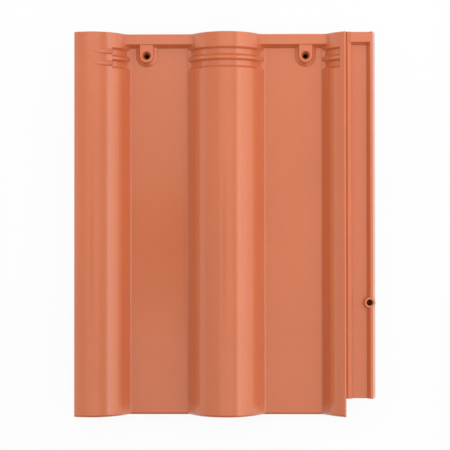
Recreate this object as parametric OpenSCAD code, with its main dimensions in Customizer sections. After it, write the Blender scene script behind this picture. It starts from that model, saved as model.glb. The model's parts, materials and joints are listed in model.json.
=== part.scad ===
// Interlocking concrete roof tile with flat pans and two rolls, moulded in one piece.
// X runs across the tile to its side channel, +Y up the slope to the head and +Z out of
// the roof. The origin is on the floor below the middle of the tile, which rests on its
// nibs and on its tail bar.

/* [Tile] */
// Length from the tail to the head
tile_len = 424; // [380:1:460]
// Distance from one tile's left edge to its neighbour's
cover_w = 300; // [286:1:330]
// Thickness of the pans and of the rolls' walls
wall_t = 11; // [9:0.5:13]

/* [Rolls] */
// Height of the rolls above the pans
roll_h = 28; // [24:0.5:34]
// Radius of a roll's crest
crest_r = 43.3; // [39:0.1:46]
// Slope of a roll's flanks
flank_a = 52; // [48:0.5:58]
// Distance of the left edge from the crest line of the left roll
edge_x = 17.4; // [15:0.2:20]
// Radius of the fillet between a flank and the pan
foot_r = 3; // [1.5:0.1:5]

/* [Side channel] */
// Gap between the part roll and the neighbour's edge
joint_gap = 1.2; // [0.4:0.1:2]
// Clearance between the overlap and the neighbour's channel below it
lap_gap = 1; // [0.5:0.1:1.5]
// Width of the channel and its two ribs
channel_w = 33.2; // [31:0.2:35]
// Height of the channel's floor above the pans
channel_z = 14.5; // [13:0.5:16]
// Thickness below the channel's floor
channel_t = 8; // [7:0.5:9.5]
// Height of the inner rib above the channel's floor
inner_rib_h = 5.3; // [4:0.1:6]
// Height of the outer rib above the channel's floor
outer_rib_h = 6.2; // [5:0.1:7]

/* [Tail] */
// Radius of the rounded upper edge of the tail
tail_r = 3; // [1:0.5:4]
// How far the side channel stops short of the tail
channel_cut = 20; // [16:1:30]

/* [Head] */
// Height of the bar across the head of each pan
bar_h = 7; // [5:0.5:9]
// Width of the top of that bar, along the slope
bar_w = 11.5; // [9:0.5:16]
// Width of the bar's sloping face, along the slope
bar_slope_w = 3.8; // [2:0.2:6]
// Radius of the rounded upper edge of that bar
head_r = 2.5; // [1:0.5:3.5]
// Radius of the rounded heads of the rolls
roll_head_r = 1.2; // [0.5:0.1:1.5]
// Depth of the weather grooves across the rolls
groove_d = 3; // [1:0.1:3.5]
// Distance of the first groove from the head
groove_y = 16.5; // [15:0.5:20]
// Distance from one groove to the next
groove_pitch = 12.9; // [12:0.1:16]

/* [Fixings] */
// Diameter of the nail holes
nail_d = 6; // [4:0.5:7]
// Diameter of a nail hole's mouth
nail_mouth_d = 9.8; // [7.5:0.1:11]
// Distance of the nail holes from the head
nail_y = 24.1; // [22:0.1:32]
// Distance between the two nail holes
nail_pitch = 177.2; // [170:0.2:182]
// Diameter of the blind clip hole in the side channel
clip_d = 7; // [5:0.5:8]
// Distance of the clip hole from the head
clip_y = 298.4; // [200:0.2:340]

/* [Underside] */
// Depth of the nibs and of the tail bar below the pans
foot_h = 11; // [9:0.5:14]
// Width of a nib
nib_w = 34; // [24:1:44]
// Distance of a nib's bearing face from the head
nib_y = 18; // [15:0.5:20]
// Width of the tail bar, along the slope
tail_bar_w = 14; // [10:1:17]

/* [Hidden] */
$fn = 96;

// One curve runs this far into the next, so that the two cross instead of touching
seam = 0.02;
// Cutters reach this far past the faces that they cut
past = 1;
// Each cutter of a rounded edge lies this much deeper than the one above it, and runs this
// far into it, so that they meet in a small step
edge_step = 0.03;
edge_over = 0.3;

// Rolls: the middle lines and the points of a roll's outline, from its middle line
roll_pitch = (cover_w - joint_gap) / 2;
left_roll_x = edge_x;
mid_roll_x = left_roll_x + roll_pitch;
part_roll_x = mid_roll_x + roll_pitch;
arc_z = roll_h - crest_r;
// Half the width of a roll where its flanks meet the pan
foot_x = (crest_r - seam) / sin(flank_a) + arc_z / tan(flank_a);
// Length of a fillet, from its corner to where it ends
foot_fillet = foot_r * tan(flank_a / 2);
// Height at which a crest's arc ends, and the length of the straight flank below it
flank_z = arc_z + crest_r * cos(flank_a);
flank_len = flank_z / sin(flank_a) - foot_fillet;
// Depth at which every roll's outline has closed below its arc
deep_z = arc_z - crest_r - past;

// Side channel, from the part roll's edge outwards
joint_x = cover_w - joint_gap;
tile_w = joint_x + channel_w;
rib_z = channel_z + inner_rib_h;
outer_rib_z = channel_z + outer_rib_h;
channel_under_z = channel_z - channel_t;
rib_gap_w = 2;
rib_gap_d = 1;
inner_rib_x = joint_x + 6;
inner_slope_w = 1.5;
outer_slope_w = 3.5;
outer_rib_w = 2.8;
outer_face_w = 3.7;
channel_x = inner_rib_x + inner_slope_w;
outer_rib_x = tile_w - outer_face_w - outer_rib_w;
// The overlap on the left keeps this far from the outer face of the neighbour's channel
side_gap = 1.5;
lap_end_x = tile_w - cover_w + side_gap;
// Bevel along the part roll's edge
bevel_w = 1.7;
bevel_a = 42;
bevel_x = joint_x - bevel_w;
bevel_z = arc_z + sqrt(pow(crest_r, 2) - pow(part_roll_x - bevel_x, 2));

// Head
flange_bar_w = 11.4;
flange_bar_slope_w = 2.7;
groove_wall_w = 2.2;
groove_floor_w = 5.3;
groove_rise_w = 2.8;
// The grooves of the outer rolls stop this far from the crest lines
groove_end_x = 24;
// Height above the pans at which a groove's foot is level
groove_foot_z = 0.6;
groove_count = 2;
finger_r = 60;
finger_w = 4.2;
finger_slope = 0.45;
finger_reach = 4.5;
// Tilt at which a finger's top leaves the crest, and the places of its tip and square end
finger_start_a = -5;
finger_tip_x = -1;
finger_end_x = 23.8;
finger_sink = 0.05;

// Fixings
nail_x = [mid_roll_x - nail_pitch / 2, mid_roll_x + nail_pitch / 2];
boss_h = bar_h - 1;
boss_top_r = 7.2;
boss_step_r = 8.6;
boss_step_z = 2.8;
boss_edge_r = 11.4;
boss_edge_z = 0.8;
boss_foot_r = 11.9;
nail_mouth_h = 4;
clip_x = outer_rib_x - 0.8;
clip_top_r = 5.5;
clip_foot_r = 7;
clip_depth = 9;

// Underside
under_z = -wall_t;
floor_z = under_z - foot_h;
nib_back_y = 2;
nib_taper = 2.5;
nib_x = [left_roll_x + roll_pitch / 2, mid_roll_x + roll_pitch / 2];
second_bar_y = 32;
second_bar_w = 7;
tongue_cut = 17;

// Extrudes an outline of X and Z along the slope, between two distances from the tail
module along(y_low, y_high) {
    translate([0, y_high, 0])
        rotate([90, 0, 0])
            linear_extrude(y_high - y_low)
                children();
}

// Extrudes an outline of Y and Z across the tile
module across(x_low, x_high) {
    translate([x_low, 0, 0])
        rotate([90, 0, 90])
            linear_extrude(x_high - x_low)
                children();
}

// Turns an outline of radius and Y about the axis of a crest, from one tilt to another
module around_crest(tilt_low, tilt_high) {
    translate([0, 0, arc_z])
        rotate([-90, 0, 0])
            rotate_extrude(angle = tilt_high - tilt_low, start = tilt_low - 90)
                children();
}

// Extrudes an outline of radius and Y down the right flank of a roll, from one distance
// below the crest's arc to another
module down_flank(from, to) {
    translate([0, 0, arc_z])
        rotate([0, flank_a - 90, 0])
            translate([0, 0, -to])
                linear_extrude(to - from)
                    children();
}

// Turns an outline of radius and Y about the axis of the right foot's fillet
module around_foot() {
    over_a = asin(edge_over / foot_r);
    translate([foot_x + foot_fillet, 0, foot_r])
        rotate([-90, 0, 0])
            rotate_extrude(angle = flank_a + 2 * over_a, start = 90 - over_a)
                children();
}

// Both sides of a roll
module both_sides() {
    children();
    mirror([1, 0, 0])
        children();
}

// Outline of everything below a roll, set in from its surface, from its middle line
module roll_outline(inset = 0) {
    r = crest_r - inset;
    top = r - seam;
    low_x = foot_x - inset / sin(flank_a) - deep_z / tan(flank_a);
    translate([0, arc_z])
        circle(r);
    polygon([
        [-low_x, deep_z],
        [low_x, deep_z],
        [top * sin(flank_a), arc_z + top * cos(flank_a)],
        [-top * sin(flank_a), arc_z + top * cos(flank_a)]
    ]);
}

// Concave fillet at the right foot of a roll
module foot_fillet_outline() {
    pan_end = [foot_x + foot_fillet, 0];
    flank_end = [foot_x - foot_fillet * cos(flank_a), foot_fillet * sin(flank_a)];
    difference() {
        polygon([
            pan_end,
            flank_end,
            flank_end - past * [sin(flank_a), cos(flank_a)],
            pan_end - [0, past]
        ]);
        translate(pan_end + [0, foot_r])
            circle(foot_r + seam);
    }
}

// Outline of the side channel's upper surface, with a straight edge at the given depth
module channel_outline(x_low, x_high, bottom_z) {
    polygon([
        [x_low, bottom_z],
        [x_low, rib_z - rib_gap_d],
        [joint_x, rib_z - rib_gap_d],
        [joint_x + rib_gap_w, rib_z],
        [inner_rib_x, rib_z],
        [channel_x, channel_z],
        [outer_rib_x - outer_slope_w, channel_z],
        [outer_rib_x, outer_rib_z],
        [outer_rib_x + outer_rib_w, outer_rib_z],
        [x_high, bottom_z]
    ]);
}

// Outline of everything between the left edge and the part roll's edge, which has a bevel
module edges_outline() {
    drop = (bevel_w + past) * tan(bevel_a);
    difference() {
        translate([0, deep_z])
            square([joint_x, roll_h + past - deep_z]);
        polygon([
            [bevel_x - past, bevel_z + past * tan(bevel_a)],
            [joint_x + past, bevel_z - drop],
            [joint_x + past, roll_h + 2 * past],
            [bevel_x - past, roll_h + 2 * past]
        ]);
    }
}

// Outline of everything below the tile's upper surface, without the side channel
module upper_outline() {
    translate([0, deep_z])
        square([joint_x, -deep_z]);
    intersection() {
        edges_outline();
        union() {
            translate([left_roll_x, 0]) {
                roll_outline();
                foot_fillet_outline();
            }
            translate([mid_roll_x, 0]) {
                roll_outline();
                foot_fillet_outline();
                mirror([1, 0])
                    foot_fillet_outline();
            }
            translate([part_roll_x, 0]) {
                roll_outline();
                mirror([1, 0])
                    foot_fillet_outline();
            }
        }
    }
}

// Outline of the hollows below the three rolls
module hollow_outline() {
    intersection() {
        translate([left_roll_x, 0])
            roll_outline(wall_t);
        translate([lap_end_x - past, deep_z - past])
            square([roll_pitch, roll_h - deep_z + past]);
    }
    translate([mid_roll_x, 0])
        roll_outline(wall_t);
    intersection() {
        translate([part_roll_x, 0])
            roll_outline(wall_t);
        translate([mid_roll_x, deep_z - past])
            square([tile_w, channel_under_z - deep_z + past]);
    }
}

// Outline of the space below the left edge, where the neighbour's channel lies
module lap_outline() {
    translate([-cover_w, lap_gap])
        channel_outline(joint_x - past, outer_rib_x + outer_rib_w, deep_z);
    translate([tile_w - cover_w - outer_face_w - past, deep_z])
        square([side_gap + outer_face_w + past, outer_rib_z + lap_gap - deep_z]);
}

// Outline of the tile, square to the slope
module section_outline() {
    difference() {
        union() {
            intersection() {
                upper_outline();
                translate([-past, under_z])
                    square([tile_w + 2 * past, roll_h + wall_t + past]);
            }
            channel_outline(joint_x - past, tile_w, channel_under_z);
        }
        hollow_outline();
        lap_outline();
    }
}

// The plain tile before its head, fixings and feet are formed
module plain_tile() {
    difference() {
        along(0, tile_len)
            section_outline();
        // The channel stops short of the tail
        translate([joint_x, -past, deep_z])
            cube([tile_w, channel_cut + past, roll_h - deep_z + past]);
        // The tongue below the left edge stops short of the head
        translate([-past, tile_len - tongue_cut, deep_z])
            cube([lap_end_x + past, tongue_cut + past, outer_rib_z + lap_gap - deep_z]);
    }
}

// What is cut from an edge at Y = 0 to round it, beside a surface at X = 0
module edge_outline(edge_r) {
    difference() {
        translate([-edge_r, -past])
            square(edge_r + past);
        translate([-edge_r, edge_r])
            circle(edge_r + 2 * edge_step);
    }
}

// What is cut from a roll's edge at Y = 0, over its crest and down to a length of its flanks
module roll_edge(edge_r, length) {
    over_a = asin(edge_over / crest_r);
    around_crest(-flank_a - over_a, flank_a + over_a)
        translate([crest_r, 0])
            edge_outline(edge_r);
    both_sides()
        down_flank(-edge_over, length)
            translate([crest_r - edge_step, 0])
                edge_outline(edge_r);
}

// What is cut from the tail to round its upper edge along pans and rolls
module tail_edge() {
    pan_x = foot_x + foot_fillet - edge_over;
    for (x = [left_roll_x, mid_roll_x, part_roll_x])
        translate([x, 0, 0]) {
            roll_edge(tail_r, flank_len + edge_over);
            both_sides()
                around_foot()
                    translate([foot_r + 2 * edge_step, 0])
                        mirror([1, 0])
                            edge_outline(tail_r);
        }
    for (x = [left_roll_x, mid_roll_x])
        across(x + pan_x, x + roll_pitch - pan_x)
            rotate(90)
                mirror([0, 1])
                    edge_outline(tail_r);
}

// What is cut from the head to round the rolls above the bars
module roll_heads() {
    for (x = [left_roll_x, mid_roll_x, part_roll_x])
        translate([x, tile_len, 0])
            mirror([0, 1, 0])
                roll_edge(roll_head_r, (flank_z - bar_h + head_r / 2) / sin(flank_a));
}

// Outline of a bar across the head, in Y and Z, with its rounded upper edge
module head_bar_outline(base_z, height, top_w, slope_w) {
    difference() {
        polygon([
            [tile_len, base_z],
            [tile_len, base_z + height],
            [tile_len - top_w, base_z + height],
            [tile_len - top_w - slope_w, base_z],
            [tile_len - top_w - slope_w, base_z - past],
            [tile_len, base_z - past]
        ]);
        difference() {
            translate([tile_len - head_r, base_z + height - head_r])
                square(head_r + past);
            translate([tile_len - head_r, base_z + height - head_r])
                circle(head_r + seam);
        }
    }
}

// The bars across the heads of the pans and of the side channel
module head_bars() {
    for (x = [left_roll_x, mid_roll_x])
        across(x + foot_x - bar_h, x + roll_pitch - foot_x + bar_h)
            head_bar_outline(0, bar_h, bar_w, bar_slope_w);
    across(inner_rib_x - past, outer_rib_x + past)
        head_bar_outline(channel_z, outer_rib_h, flange_bar_w, flange_bar_slope_w);
}

// Outline of one side of a nail boss, from its middle line: a steep tongue on a low skirt
module boss_outline() {
    polygon([
        [0, -past],
        [boss_foot_r, -past],
        [boss_foot_r, 0],
        [boss_edge_r, boss_edge_z],
        [boss_step_r, boss_step_z],
        [boss_top_r, boss_h],
        [0, boss_h]
    ]);
}

// A nail boss, which hangs from the head bar and has a round end
module nail_boss() {
    rotate_extrude(angle = 180, start = 180)
        boss_outline();
    along(0, nail_y - head_r - past) {
        boss_outline();
        mirror([1, 0])
            boss_outline();
    }
}

// A nail hole with its flared mouth
module nail_hole() {
    translate([0, 0, under_z - past])
        cylinder(h = wall_t + bar_h + 2 * past, d = nail_d);
    translate([0, 0, boss_h - nail_mouth_h])
        cylinder(h = nail_mouth_h, d1 = nail_d, d2 = nail_mouth_d);
}

// Outline of a weather groove, in radius and Y, with its steep wall towards the head
module groove_outline() {
    floor_r = crest_r - groove_d;
    over_r = crest_r + groove_d;
    polygon([
        [over_r, groove_wall_w],
        [floor_r, -groove_wall_w],
        [floor_r, -groove_wall_w - groove_floor_w],
        [crest_r, -groove_wall_w - groove_floor_w - groove_rise_w],
        [over_r, -groove_wall_w - groove_floor_w - 2 * groove_rise_w]
    ]);
}

// A groove over a roll, between two distances from its crest line
module groove(x_low, x_high) {
    over_a = asin(edge_over / crest_r);
    intersection() {
        union() {
            around_crest(-flank_a - over_a, flank_a + over_a)
                groove_outline();
            both_sides()
                down_flank(-edge_over, crest_r)
                    translate([-edge_step, 0])
                        groove_outline();
        }
        translate([x_low, -tile_len, groove_foot_z])
            cube([x_high - x_low, 2 * tile_len, roll_h]);
    }
}

// The weather grooves across the rolls
module grooves() {
    half = roll_pitch / 2;
    for (i = [0:groove_count - 1])
        translate([0, tile_len - groove_y - i * groove_pitch, 0]) {
            translate([left_roll_x, 0, 0])
                groove(groove_end_x, half);
            translate([mid_roll_x, 0, 0])
                groove(-half, half);
            translate([part_roll_x, 0, 0])
                groove(-half, -groove_end_x);
        }
}

// A raised finger on the left roll, which grows from its tip near the crest to a square end
module finger() {
    offset_r = finger_r - crest_r + finger_sink;
    foot_w = finger_w + 2 * finger_slope * finger_reach;
    axis_x = -offset_r * sin(finger_start_a);
    end_a = asin((finger_end_x + past - axis_x) / finger_r);
    intersection() {
        translate([axis_x, 0, arc_z - offset_r * cos(finger_start_a)])
            rotate([-90, 0, 0])
                rotate_extrude(angle = end_a - finger_start_a, start = finger_start_a - 90)
                    polygon([
                        [finger_r, -finger_w / 2],
                        [finger_r, finger_w / 2],
                        [finger_r - finger_reach, foot_w / 2],
                        [finger_r - finger_reach, -foot_w / 2]
                    ]);
        linear_extrude(roll_h + past)
            polygon([
                [finger_tip_x, 0],
                [finger_end_x, -foot_w / 2],
                [finger_end_x, foot_w / 2]
            ]);
    }
}

// The fingers beside the grooves of the left roll
module fingers() {
    for (i = [0:groove_count - 1])
        translate([
            left_roll_x,
            tile_len - groove_y - i * groove_pitch - groove_wall_w - groove_floor_w / 2,
            0
        ])
            finger();
}

// The ring round the clip hole, against the outer rib
module clip_ring() {
    translate([clip_x, tile_len - clip_y, channel_under_z])
        cylinder(h = channel_t, r = clip_foot_r);
    translate([clip_x, tile_len - clip_y, channel_z])
        cylinder(h = outer_rib_h, r1 = clip_foot_r, r2 = clip_top_r);
}

// The pocket in the overlap, for the ring on the neighbour's channel
module ring_pocket() {
    translate([clip_x - cover_w, tile_len - clip_y, deep_z])
        cylinder(h = outer_rib_z + lap_gap - deep_z, r = clip_foot_r + side_gap);
}

// The blind clip hole
module clip_hole() {
    translate([clip_x, tile_len - clip_y, outer_rib_z - clip_depth])
        cylinder(h = clip_depth + past, d = clip_d);
}

// A nib, which hooks over the batten and has tapered sides
module nib() {
    top_w = nib_w + 2 * nib_taper;
    intersection() {
        along(0, tile_len)
            polygon([
                [-nib_w / 2, floor_z],
                [nib_w / 2, floor_z],
                [top_w / 2, under_z + past],
                [-top_w / 2, under_z + past]
            ]);
        across(-top_w, top_w)
            polygon([
                [tile_len - nib_y, floor_z],
                [tile_len - nib_back_y - nib_taper, floor_z],
                [tile_len - nib_back_y, under_z + past],
                [tile_len - nib_y, under_z + past]
            ]);
    }
}

// Outline of the bars below the tail, which fit the course below with a gap at its rolls
module tail_bar_outline(x_low) {
    intersection() {
        difference() {
            upper_outline();
            for (x = [left_roll_x, mid_roll_x, part_roll_x])
                translate([x, floor_z + lap_gap])
                    roll_outline();
        }
        translate([x_low, floor_z])
            square([joint_x - x_low, roll_h - floor_z]);
        // The bars stay below the surface that is rounded at the tail
        translate([0, -seam])
            upper_outline();
    }
}

// The tail bar and a second bar up the slope from it
module tail_bars() {
    along(0, tail_bar_w)
        tail_bar_outline(0);
    along(second_bar_y, second_bar_y + second_bar_w)
        tail_bar_outline(lap_end_x);
}

// The whole tile, with the tail at Y = 0 and the pans' surface at Z = 0
module formed_tile() {
    difference() {
        union() {
            plain_tile();
            head_bars();
            for (x = nail_x)
                translate([x, tile_len - nail_y, 0])
                    nail_boss();
            clip_ring();
            for (x = nib_x)
                translate([x, 0, 0])
                    nib();
            tail_bars();
        }
        for (x = nail_x)
            translate([x, tile_len - nail_y, 0])
                nail_hole();
        clip_hole();
        ring_pocket();
        grooves();
        tail_edge();
        roll_heads();
    }
    fingers();
}

module tile() {
    color("#d0774f")
        translate([-tile_w / 2, -tile_len / 2, -floor_z])
            formed_tile();
}

tile();
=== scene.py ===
"""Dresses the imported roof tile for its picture: the finish, the studio and the camera."""

import json
import logging
import math
from dataclasses import dataclass
from enum import Enum
from typing import Any

import bpy
from mathutils import Matrix, Vector


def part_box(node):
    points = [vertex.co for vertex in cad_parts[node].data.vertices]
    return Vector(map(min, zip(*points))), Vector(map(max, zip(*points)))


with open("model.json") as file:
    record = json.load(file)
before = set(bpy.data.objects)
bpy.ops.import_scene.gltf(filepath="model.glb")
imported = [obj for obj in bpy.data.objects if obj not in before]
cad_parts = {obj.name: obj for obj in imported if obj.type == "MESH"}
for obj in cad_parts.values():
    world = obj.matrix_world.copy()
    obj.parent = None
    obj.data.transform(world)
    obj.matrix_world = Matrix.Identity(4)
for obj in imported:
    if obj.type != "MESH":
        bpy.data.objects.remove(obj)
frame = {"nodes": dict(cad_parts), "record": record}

log = logging.getLogger("roof_tile")

Point = tuple[float, float, float]
Colour = tuple[float, float, float]
# Where a smooth step starts and where it ends
Step = tuple[float, float]

IMAGE_PX = 450
METRES_PER_MM = 0.001
WHITE: Colour = (1.0, 1.0, 1.0)
# The value that a noise pattern lies round
NOISE_MIDDLE = 0.5
# Watts for each square metre of a lamp whose face has a brightness of 1
LAMP_WATTS = 4.0


def opaque(colour: Colour) -> tuple[float, float, float, float]:
    """Return a colour with full opacity added."""
    return (*colour, 1.0)


class Ray(Enum):
    """The kinds of ray that a paint can tell apart."""

    CAMERA = "Is Camera Ray"
    GLOSSY = "Is Glossy Ray"


class End(Enum):
    """The output nodes that a closing shader is linked to."""

    MATERIAL = "ShaderNodeOutputMaterial"
    WORLD = "ShaderNodeOutputWorld"


@dataclass(frozen=True)
class Speckle:
    """A noise pattern's fineness."""

    per_metre: float
    finer_layers: float
    layer_strength: float = 0.5


class Value:
    """A shader value, which can be used in Python expressions."""

    def __init__(self, sheet: "NodeSheet", socket: bpy.types.NodeSocket) -> None:
        """Wrap an output socket.

        Args:
            sheet: The node sheet that the socket is on.
            socket: The output socket.
        """
        self.sheet = sheet
        self.socket = socket

    def math(
        self,
        operation: str,
        *others: "float | Value",
        first: "float | Value | None" = None,
    ) -> "Value":
        """Add a Math node that starts with this value.

        Args:
            operation: The Math node's operation.
            others: The values that follow this one.
            first: A value that comes before this one.

        Returns:
            The node's result.
        """
        values = [self, *others] if first is None else [first, self, *others]
        return self.sheet.node("ShaderNodeMath", {"operation": operation}, dict(enumerate(values)))

    def __add__(self, other: "float | Value") -> "Value":
        """Return this value plus another."""
        return self.math("ADD", other)

    __radd__ = __add__

    def __sub__(self, other: "float | Value") -> "Value":
        """Return this value less another."""
        return self.math("SUBTRACT", other)

    def __rsub__(self, other: float) -> "Value":
        """Return a number less this value."""
        return self.math("SUBTRACT", first=other)

    def __mul__(self, other: "float | Value") -> "Value":
        """Return this value times another."""
        return self.math("MULTIPLY", other)

    __rmul__ = __mul__

    def __truediv__(self, other: "float | Value") -> "Value":
        """Return this value divided by another."""
        return self.math("DIVIDE", other)

    def at_least(self, other: "float | Value") -> "Value":
        """Return the larger of this value and another."""
        return self.math("MAXIMUM", other)

    def at_most(self, other: "float | Value") -> "Value":
        """Return the smaller of this value and another."""
        return self.math("MINIMUM", other)

    def between(self, low: float, high: float) -> "Value":
        """Return a smooth step of this value.

        Args:
            low: The value at which the step is 0.
            high: The value at which the step is 1.

        Returns:
            A value from 0 to 1.
        """
        settings = {"interpolation_type": "SMOOTHSTEP"}
        inputs = {0: self, 1: low, 2: high, 3: 0.0, 4: 1.0}
        return self.sheet.node("ShaderNodeMapRange", settings, inputs)


class NodeSheet:
    """The nodes of one material or of the world."""

    def __init__(self, owner: bpy.types.Material | bpy.types.World) -> None:
        """Empty the node tree of a material or world.

        Args:
            owner: The material or world.
        """
        owner.use_nodes = True
        self.tree = owner.node_tree
        self.tree.nodes.clear()

    def node(
        self,
        kind: str,
        settings: dict[str, object] | None = None,
        inputs: "dict[str | int, object] | None" = None,
        output: str | int = 0,
    ) -> Value:
        """Add a node.

        Args:
            kind: The node's type.
            settings: Its properties by name, which are set first.
            inputs: The values or links of its sockets, by name or number.
            output: The name or number of the output that is returned.

        Returns:
            One of the node's outputs.
        """
        made = self.tree.nodes.new(kind)
        for name, value in (settings or {}).items():
            setattr(made, name, value)
        for name, value in (inputs or {}).items():
            if isinstance(value, Value):
                self.tree.links.new(value.socket, made.inputs[name])
            else:
                made.inputs[name].default_value = value
        return Value(self, made.outputs[output])

    def close(self, shader: Value, end: End) -> None:
        """Link the closing shader to the tree's output.

        Args:
            shader: The closing shader.
            end: The output node that the tree gets.
        """
        made = self.tree.nodes.new(end.value)
        self.tree.links.new(shader.socket, made.inputs["Surface"])

    def place(self) -> Value:
        """Return the point on the object, in metres."""
        return self.node("ShaderNodeTexCoord", output="Object")

    def facing_down(self) -> Value:
        """Return 1 on a face that points down, 0 on an upright one and -1 on one that points up."""
        normal = self.node("ShaderNodeNewGeometry", output="True Normal")
        return self.part(normal, "Z") * -1.0

    def ray(self, kind: Ray) -> Value:
        """Return 1 for rays of a kind and 0 for others."""
        return self.node("ShaderNodeLightPath", output=kind.value)

    def part(self, vector: Value, axis: str) -> Value:
        """Return a vector's coordinate along the axis X, Y or Z."""
        return self.node("ShaderNodeSeparateXYZ", None, {0: vector}, axis)

    def scaled(self, vector: Value, scale: Point) -> Value:
        """Return a vector whose coordinates are multiplied by those of a scale."""
        return self.node("ShaderNodeMapping", None, {"Vector": vector, "Scale": scale})

    def distance(self, vector: Value, point: Point) -> Value:
        """Return the distance from a vector to a fixed point."""
        inputs = {0: vector, 1: point}
        return self.node("ShaderNodeVectorMath", {"operation": "DISTANCE"}, inputs, "Value")

    def blend(self, share: "float | Value", low: "Colour | Value", high: "Colour | Value") -> Value:
        """Mix two colours.

        Args:
            share: How much of the second colour there is.
            low: The colour at a share of 0.
            high: The colour at a share of 1.

        Returns:
            The mixed colour.
        """
        first, second = (c if isinstance(c, Value) else opaque(c) for c in (low, high))
        return self.node("ShaderNodeMix", {"data_type": "RGBA"}, {0: share, 6: first, 7: second}, 2)

    def noise(self, place: Value, speckle: Speckle) -> Value:
        """Add a noise pattern.

        Args:
            place: The point that the pattern is read at, in metres.
            speckle: The pattern's fineness.

        Returns:
            The pattern.
        """
        inputs = {
            "Vector": place,
            "Scale": speckle.per_metre,
            "Detail": speckle.finer_layers,
            "Roughness": speckle.layer_strength,
        }
        return self.node("ShaderNodeTexNoise", {"normalize": True}, inputs)

    def bump(self, height: Value, normal: Value, distance: float = 1.0, strength: float = 1.0) -> Value:
        """Turn a normal by a height.

        Args:
            height: The height, as a share of the distance.
            normal: The normal before the bump.
            distance: The height in metres that a value of 1 stands for.
            strength: How much of the turn is kept.

        Returns:
            The turned normal.
        """
        inputs = {"Strength": strength, "Distance": distance, "Height": height, "Normal": normal}
        return self.node("ShaderNodeBump", None, inputs)


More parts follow.
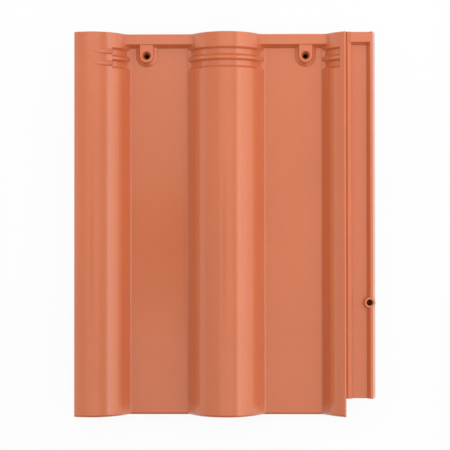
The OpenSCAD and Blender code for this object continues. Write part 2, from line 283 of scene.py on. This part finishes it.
@dataclass(frozen=True)
class CoatedConcrete:
    """Fine concrete whose weather side has a coloured coat with a satin sheen.

    Colours are linear, and lengths and places are in metres in the tile's own frame.
    """

    # Middle of the clip hole, middle of the left roll, and half the distance between two rolls
    clip_hole: Point
    first_roll_x: float
    half_pitch: float
    name: str = "coated_concrete"
    # The coat: its dark and its pale tone, the tint of its sheen, and its roughness
    coat: Colour = (0.51, 0.127, 0.047)
    coat_pale: Colour = (0.57, 0.145, 0.054)
    tint: Colour = (1.0, 0.29, 0.11)
    rough: float = 0.18
    grain_rough: float = 0.1
    ior: float = 1.6
    # Bare concrete, and the clip hole's painted shade, with the distance from the hole's middle at which
    # that painted shade ends
    bare: Colour = (0.40, 0.19, 0.115)
    bare_dark: Colour = (0.27, 0.125, 0.075)
    bare_rough: float = 0.92
    # The clip hole's colour is painted shade for the dark deep in the hole
    hole: Colour = (0.16, 0.048, 0.022)
    hole_shade_reach: Step = (0.0031, 0.0037)
    # Patterns of the coat, and how far each moves the tone
    cloud: Speckle = Speckle(16.0, 2.0)
    cloud_share: float = 0.9
    mottle: Speckle = Speckle(160.0, 4.0, 0.6)
    mottle_share: float = 0.7
    grain: Speckle = Speckle(1500.0, 2.0, 0.7)
    grain_share: float = 1.3
    # Pattern of the bare concrete
    grit: Speckle = Speckle(620.0, 3.0, 0.65)
    grit_step: Step = (0.42, 0.62)
    # Where the coat ends: how far a face points down, and the height of its wavy lower edge
    bare_facing: Step = (0.12, 0.3)
    bare_below: float = 0.0185
    wave: Speckle = Speckle(45.0, 3.0)
    wave_h: float = 0.006
    bare_edge: Step = (-0.0006, 0.0006)
    # How far a face points down where the coat loses its sheen
    dull_facing: Step = (-0.34, -0.1)
    # Fine relief: edges, streaks along the tile, pits, and how high each pattern stands
    edge_round: float = 0.0004
    edge_samples: int = 6
    streak: Speckle = Speckle(260.0, 2.0)
    streak_scale: Point = (1.0, 0.03, 1.0)
    pits: Speckle = Speckle(420.0, 3.0, 0.6)
    grain_h: float = 0.3
    pits_h: float = 0.3
    streak_h: float = 0.25
    bare_pits_h: float = 2.0
    relief_h: float = 0.0006
    relief_strength: float = 0.35
    # The rolls' crowns: half their width, and how far they are lifted towards the shoulders
    shoulder: float = 0.0341
    crown_lift: float = 0.0017
    crown_power: float = 2.0
    shoulder_lift: float = 0.0009
    shoulder_power: float = 6.0
    # The flanks beyond them: how wide a strip falls more steeply, and by how much
    flank_w: float = 0.0080
    flank_fall: float = 0.17

    def material(self) -> bpy.types.Material:
        """Build the material.

        Returns:
            The material.
        """
        made = bpy.data.materials.new(self.name)
        sheet = NodeSheet(made)
        place = sheet.place()
        facing = sheet.facing_down()
        grain = sheet.noise(place, self.grain)
        bare = self.bare_share(sheet, place, facing)
        outside_hole_shade = self.outside_hole_shade_share(sheet, place)
        coated = self.colour(sheet, place, grain, bare)
        dull = facing.between(*self.dull_facing).at_least(bare).at_least(1.0 - outside_hole_shade)
        satin = (grain - NOISE_MIDDLE) * self.grain_rough + self.rough
        shader = sheet.node(
            "ShaderNodeBsdfPrincipled",
            None,
            {
                # In the clip hole the base colour is painted shade
                "Base Color": sheet.blend(outside_hole_shade, self.hole, coated),
                "Roughness": (1.0 - dull) * satin + dull * self.bare_rough,
                "IOR": self.ior,
                "Specular Tint": opaque(self.tint),
                "Coat Weight": 1.0 - dull,
                "Coat Roughness": self.rough,
                "Coat IOR": self.ior,
                "Normal": self.relief(sheet, place, bare, grain),
            },
        )
        sheet.close(shader, End.MATERIAL)
        return made

    def colour(self, sheet: NodeSheet, place: Value, grain: Value, bare: Value) -> Value:
        """Mottle the coat and the bare concrete.

        Args:
            sheet: The node sheet.
            place: The point on the object.
            grain: The fine grain.
            bare: Where the concrete is bare.

        Returns:
            The colour of the surface outside the clip hole.
        """
        cloud = (sheet.noise(place, self.cloud) - NOISE_MIDDLE) * self.cloud_share
        mottle = (sheet.noise(place, self.mottle) - NOISE_MIDDLE) * self.mottle_share
        tone = cloud + mottle + (grain - NOISE_MIDDLE) * self.grain_share + NOISE_MIDDLE
        coat = sheet.blend(tone, self.coat, self.coat_pale)
        grit = sheet.noise(place, self.grit).between(*self.grit_step)
        concrete = sheet.blend(grit, self.bare_dark, self.bare)
        return sheet.blend(bare, coat, concrete)

    def outside_hole_shade_share(self, sheet: NodeSheet, place: Value) -> Value:
        """Find the clip hole, whatever the height, where the colour is painted shade.

        Args:
            sheet: The node sheet.
            place: The point on the object.

        Returns:
            0 in the hole's painted shade and 1 elsewhere.
        """
        x, y, _ = self.clip_hole
        level = sheet.scaled(place, (1.0, 1.0, 0.0))
        return sheet.distance(level, (x, y, 0.0)).between(*self.hole_shade_reach)

    def bare_share(self, sheet: NodeSheet, place: Value, facing: Value) -> Value:
        """Find where the coat is missing: on what faces down, and low on the edges.

        Args:
            sheet: The node sheet.
            place: The point on the object.
            facing: How far the face points down.

        Returns:
            1 where the concrete is bare and 0 where it is coated.
        """
        height = sheet.part(place, "Z")
        wave = (sheet.noise(place, self.wave) - NOISE_MIDDLE) * self.wave_h
        low = (self.bare_below - height - wave).between(*self.bare_edge)
        return facing.between(*self.bare_facing).at_least(low)

    def relief(self, sheet: NodeSheet, place: Value, bare: Value, grain: Value) -> Value:
        """Round the edges, shape the crowns and add the grain of the surface.

        Args:
            sheet: The node sheet.
            place: The point on the object.
            bare: Where the concrete is bare.
            grain: The fine grain.

        Returns:
            The normal.
        """
        rounded = sheet.node(
            "ShaderNodeBevel", {"samples": self.edge_samples}, {"Radius": self.edge_round}
        )
        rolled = sheet.bump(self.crown(sheet, place), rounded)
        streak = sheet.noise(sheet.scaled(place, self.streak_scale), self.streak)
        pits = sheet.noise(place, self.pits)
        coat_height = grain * self.grain_h + pits * self.pits_h + streak * self.streak_h
        height = coat_height + bare * pits * self.bare_pits_h
        return sheet.bump(height, rolled, self.relief_h, self.relief_strength)

    def crown(self, sheet: NodeSheet, place: Value) -> Value:
        """Flatten the crowns of the rolls a little, down to crisper shoulders.

        Args:
            sheet: The node sheet.
            place: The point on the object.

        Returns:
            The height to add, in metres.
        """
        across = sheet.part(place, "X")
        offset = (across - self.first_roll_x).math("PINGPONG", self.half_pitch)
        inner = offset.at_most(self.shoulder)
        share = inner / self.shoulder
        crown = share.math("POWER", self.crown_power) * self.crown_lift
        shoulder = share.math("POWER", self.shoulder_power) * self.shoulder_lift
        flank = (offset - inner).at_most(self.flank_w) * self.flank_fall
        return crown + shoulder - flank


@dataclass(frozen=True)
class MattPaint:
    """A paint of one colour without any sheen."""

    name: str
    paint: Colour

    def material(self) -> bpy.types.Material:
        """Build the material.

        Returns:
            The material.
        """
        made = bpy.data.materials.new(self.name)
        sheet = NodeSheet(made)
        matt = sheet.node("ShaderNodeBsdfDiffuse", None, {"Color": opaque(self.paint)})
        sheet.close(matt, End.MATERIAL)
        return made


@dataclass(frozen=True)
class FloorPaint:
    """White paint that keeps a faint shadow, and has painted shadow where a hole of the tile shows it.
    """

    spots: tuple[Point, ...]
    name: str = "floor_paint"
    paint: Colour = (0.8, 0.8, 0.8)
    # The colour of the painted shadow on the spots
    shade: Colour = (0.02, 0.02, 0.02)
    # How much of the white the camera sees, and the distance from a spot at which the painted shadow
    # ends
    white: float = 0.92
    painted_shadow_reach: Step = (0.0038, 0.0055)

    def material(self) -> bpy.types.Material:
        """Build the material.

        Returns:
            The material.
        """
        made = bpy.data.materials.new(self.name)
        sheet = NodeSheet(made)
        beside = self.beside_painted_shadow(sheet)
        paint = sheet.blend(beside, self.shade, self.paint)
        matt = sheet.node("ShaderNodeBsdfDiffuse", None, {"Color": paint})
        white = sheet.node("ShaderNodeEmission", None, {"Color": opaque(WHITE), "Strength": 1.0})
        share = (sheet.ray(Ray.CAMERA) * self.white + sheet.ray(Ray.GLOSSY)) * beside
        sheet.close(sheet.node("ShaderNodeMixShader", None, {0: share, 1: matt, 2: white}), End.MATERIAL)
        return made

    def beside_painted_shadow(self, sheet: NodeSheet) -> Value:
        """Find the floor beside the spots of painted shadow.

        Args:
            sheet: The node sheet.

        Returns:
            0 on the spots of painted shadow and 1 elsewhere.
        """
        place = sheet.place()
        first, *others = (sheet.distance(place, spot).between(*self.painted_shadow_reach) for spot in self.spots)
        return math.prod(others, start=first)


@dataclass(frozen=True)
class RoofTile:
    """The whole tile, which is one piece of concrete."""

    node: str = "tile"
    # Distance of the left roll's middle from the left edge, and from one roll to the next
    first_roll: float = 0.0174
    roll_pitch: float = 0.1494
    # Height in the nail holes' flared mouths through which the floor behind them is seen
    mouth_z: float = 0.0253

    def dress(self) -> bpy.types.Object:
        """Give the tile its finish.

        Returns:
            The tile's object.
        """
        piece = frame["nodes"][self.node]
        left_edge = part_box(self.node)[0][0]
        finish = CoatedConcrete(
            clip_hole=tuple(self.mount("clip_hole")["pos_m"]),
            first_roll_x=left_edge + self.first_roll,
            half_pitch=self.roll_pitch / 2.0,
        )
        material = finish.material()
        for slot in piece.material_slots:
            slot.material = material
        return piece

    def nail_holes(self) -> list[Point]:
        """Find the nail holes.

        Returns:
            A point on the axis of each hole, in its mouth.
        """
        holes = self.mount("nail_holes")
        x, y, _ = holes["pos_m"]
        half = holes["dims"]["spacing_x_mm"] * METRES_PER_MM / 2.0
        return [(x - half, y, self.mouth_z), (x + half, y, self.mouth_z)]

    def mount(self, name: str) -> dict[str, Any]:
        """Find one of the tile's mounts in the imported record.

        Args:
            name: The mount's name.

        Returns:
            The mount, with its place in metres and its dimensions in millimetres.
        """
        return next(mount for mount in frame["record"]["mounts"] if mount["name"] == name)


class Lamp(Enum):
    """The lamps of the studio."""

    HEAD = "head_softbox"
    RIGHT_HIGH = "right_diffuser_high"
    RIGHT_MID = "right_diffuser_mid"
    RIGHT_LOW = "right_diffuser_low"
    LEFT_LOW = "left_diffuser_low"
    LEFT_HIGH = "left_diffuser_high"
    CEILING = "ceiling_softbox"
    TOP = "top_softbox"


@dataclass(frozen=True)
class Softbox:
    """A rectangular softbox that is aimed at a point."""

    lamp: Lamp
    place: Point
    aim: Point
    size: tuple[float, float]
    glow: float

    @classmethod
    def beside(cls, lamp: Lamp, x: float, z: float, height: float, glow: float) -> "Softbox":
        """Describe an upright softbox beside the tile, which runs along it and faces it.

        Args:
            lamp: The lamp.
            x: Its place across the tile.
            z: The height of its middle.
            height: Its own height.
            glow: The brightness of its face.

        Returns:
            The softbox.
        """
        length = 1.2
        return cls(lamp, (x, 0.0, z), (0.0, 0.0, z), (length, height), glow)

    def hang(self) -> bpy.types.Object:
        """Add the light.

        Returns:
            The light's object.
        """
        light = bpy.data.lights.new(self.lamp.value, "AREA")
        light.shape = "RECTANGLE"
        light.size, light.size_y = self.size
        light.energy = LAMP_WATTS * self.glow * self.size[0] * self.size[1]
        made = bpy.data.objects.new(self.lamp.value, light)
        bpy.context.scene.collection.objects.link(made)
        direction = Vector(self.aim) - Vector(self.place)
        turn = direction.to_track_quat("-Z", "Y").to_matrix()
        made.matrix_world = Matrix.Translation(self.place) @ turn.to_4x4()
        return made


def add_board(name: str, place: Point, size: tuple[float, float], tilt: float = 0.0) -> bpy.types.Object:
    """Add a flat board that isn't part of the object.

    Args:
        name: The board's name.
        place: Its middle.
        size: Its two sides.
        tilt: How far it is turned about X, in degrees.

    Returns:
        The board's object.
    """
    bpy.ops.object.select_all(action="DESELECT")
    turn = (math.radians(tilt), 0.0, 0.0)
    bpy.ops.mesh.primitive_plane_add(size=1.0, location=place, rotation=turn)
    board = bpy.context.object
    board.name = name
    board.scale = (*size, 1.0)
    bpy.ops.object.transform_apply(location=False, rotation=False, scale=True)
    return board


@dataclass(frozen=True)
class Card:
    """A dark card that keeps light off the tile and that the camera doesn't see."""

    name: str
    place: Point
    size: tuple[float, float]
    tilt: float
    paint: Colour = (0.02, 0.02, 0.02)

    def hang(self) -> bpy.types.Object:
        """Add the card.

        Returns:
            The card's object.
        """
        card = add_board(self.name, self.place, self.size, self.tilt)
        card.data.materials.append(MattPaint(self.name, self.paint).material())
        card.visible_camera = False
        return card


@dataclass(frozen=True)
class Studio:
    """The white room round the tile, with its lamps, its cards and its floor."""

    lamps: tuple[Softbox, ...] = (
        Softbox(Lamp.HEAD, (0.0, 0.62, 0.12), (0.0, 0.0, 0.12), (1.0, 0.24), 0.35),
        Softbox.beside(Lamp.RIGHT_HIGH, x=0.26, z=0.37, height=0.14, glow=1.28),
        Softbox.beside(Lamp.RIGHT_MID, x=0.26, z=0.23, height=0.14, glow=0.83),
        Softbox.beside(Lamp.RIGHT_LOW, x=0.26, z=0.09, height=0.14, glow=0.45),
        Softbox.beside(Lamp.LEFT_LOW, x=-0.26, z=0.09, height=0.14, glow=0.33),
        Softbox.beside(Lamp.LEFT_HIGH, x=-0.26, z=0.30, height=0.28, glow=0.06),
        Softbox(Lamp.CEILING, (0.0, 1.10, 2.20), (0.0, 0.0, 0.0), (2.0, 1.2), 0.42),
        Softbox(Lamp.TOP, (0.0, 0.0, 2.40), (0.0, 0.001, 0.0), (1.6, 1.6), 0.29),
    )
    cards: tuple[Card, ...] = (
        Card("camera_card", (-0.17, -0.04, 1.90), (0.19, 0.29), 0.0),
        Card("tail_card", (0.0, -0.60, 0.32), (2.0, 0.64), 90.0),
    )
    # Brightness of the room: as light on the tile, and as the tile's sheen mirrors it
    room_glow: float = 0.95
    room_shine: float = 0.63
    floor_size: float = 12.0

    def light(self) -> None:
        """Hang the lamps and the cards, and light the room, which the camera sees as white."""
        for item in (*self.lamps, *self.cards):
            item.hang()
        world = bpy.data.worlds.new("room")
        bpy.context.scene.world = world
        sheet = NodeSheet(world)
        seen = sheet.ray(Ray.CAMERA) * (1.0 - self.room_glow)
        mirrored = sheet.ray(Ray.GLOSSY) * (self.room_shine - self.room_glow)
        inputs = {"Color": opaque(WHITE), "Strength": seen + mirrored + self.room_glow}
        sheet.close(sheet.node("ShaderNodeBackground", None, inputs), End.WORLD)

    def lay_floor(self, spots: tuple[Point, ...]) -> bpy.types.Object:
        """Lay the white floor.

        Args:
            spots: The places that get painted shadow.

        Returns:
            The floor's object.
        """
        floor = add_board("floor", (0.0, 0.0, 0.0), (self.floor_size, self.floor_size))
        floor.data.materials.append(FloorPaint(spots).material())
        return floor


@dataclass(frozen=True)
class Viewpoint:
    """The camera, straight above the tile and turned a little."""

    place: Point = (0.0199, -0.0169, 1.5047)
    tilts: Point = (0.0109, 0.0138, -0.0010)
    focal_px: float = 1328.5
    sensor_mm: float = 36.0

    def set_up(self) -> bpy.types.Object:
        """Add the camera.

        Returns:
            The camera's object.
        """
        view = bpy.data.cameras.new("camera")
        view.sensor_fit = "HORIZONTAL"
        view.sensor_width = self.sensor_mm
        view.lens = self.focal_px * self.sensor_mm / IMAGE_PX
        made = bpy.data.objects.new("camera", view)
        bpy.context.scene.collection.objects.link(made)
        turn = Matrix.Identity(3)
        for axis, tilt in zip("XYZ", self.tilts):
            turn = turn @ Matrix.Rotation(tilt, 3, axis)
        made.matrix_world = Matrix.Translation(self.place) @ turn.to_4x4()
        bpy.context.scene.camera = made
        return made

    def floor_behind(self, point: Point) -> Point:
        """Find the place on the floor that the camera sees behind a point.

        Args:
            point: A point above the floor.

        Returns:
            The place on the floor.
        """
        x, y, z = self.place
        reach = z / (z - point[2])
        return (x + (point[0] - x) * reach, y + (point[1] - y) * reach, 0.0)


def main() -> None:
    """Build the scene."""
    logging.basicConfig(level=logging.INFO, format="%(name)s: %(message)s")
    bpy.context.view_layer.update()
    bpy.context.scene.view_settings.view_transform = "Standard"
    view = Viewpoint()
    camera = view.set_up()
    log.info("%s set up", camera.name)
    tile = RoofTile()
    piece = tile.dress()
    log.info("%s dressed", piece.name)
    studio = Studio()
    studio.light()
    # The floor behind each nail hole gets a spot of painted shadow, where the tile's shade falls
    floor = studio.lay_floor(tuple(view.floor_behind(hole) for hole in tile.nail_holes()))
    log.info("%s laid", floor.name)


if __name__ == "__main__":
    main()
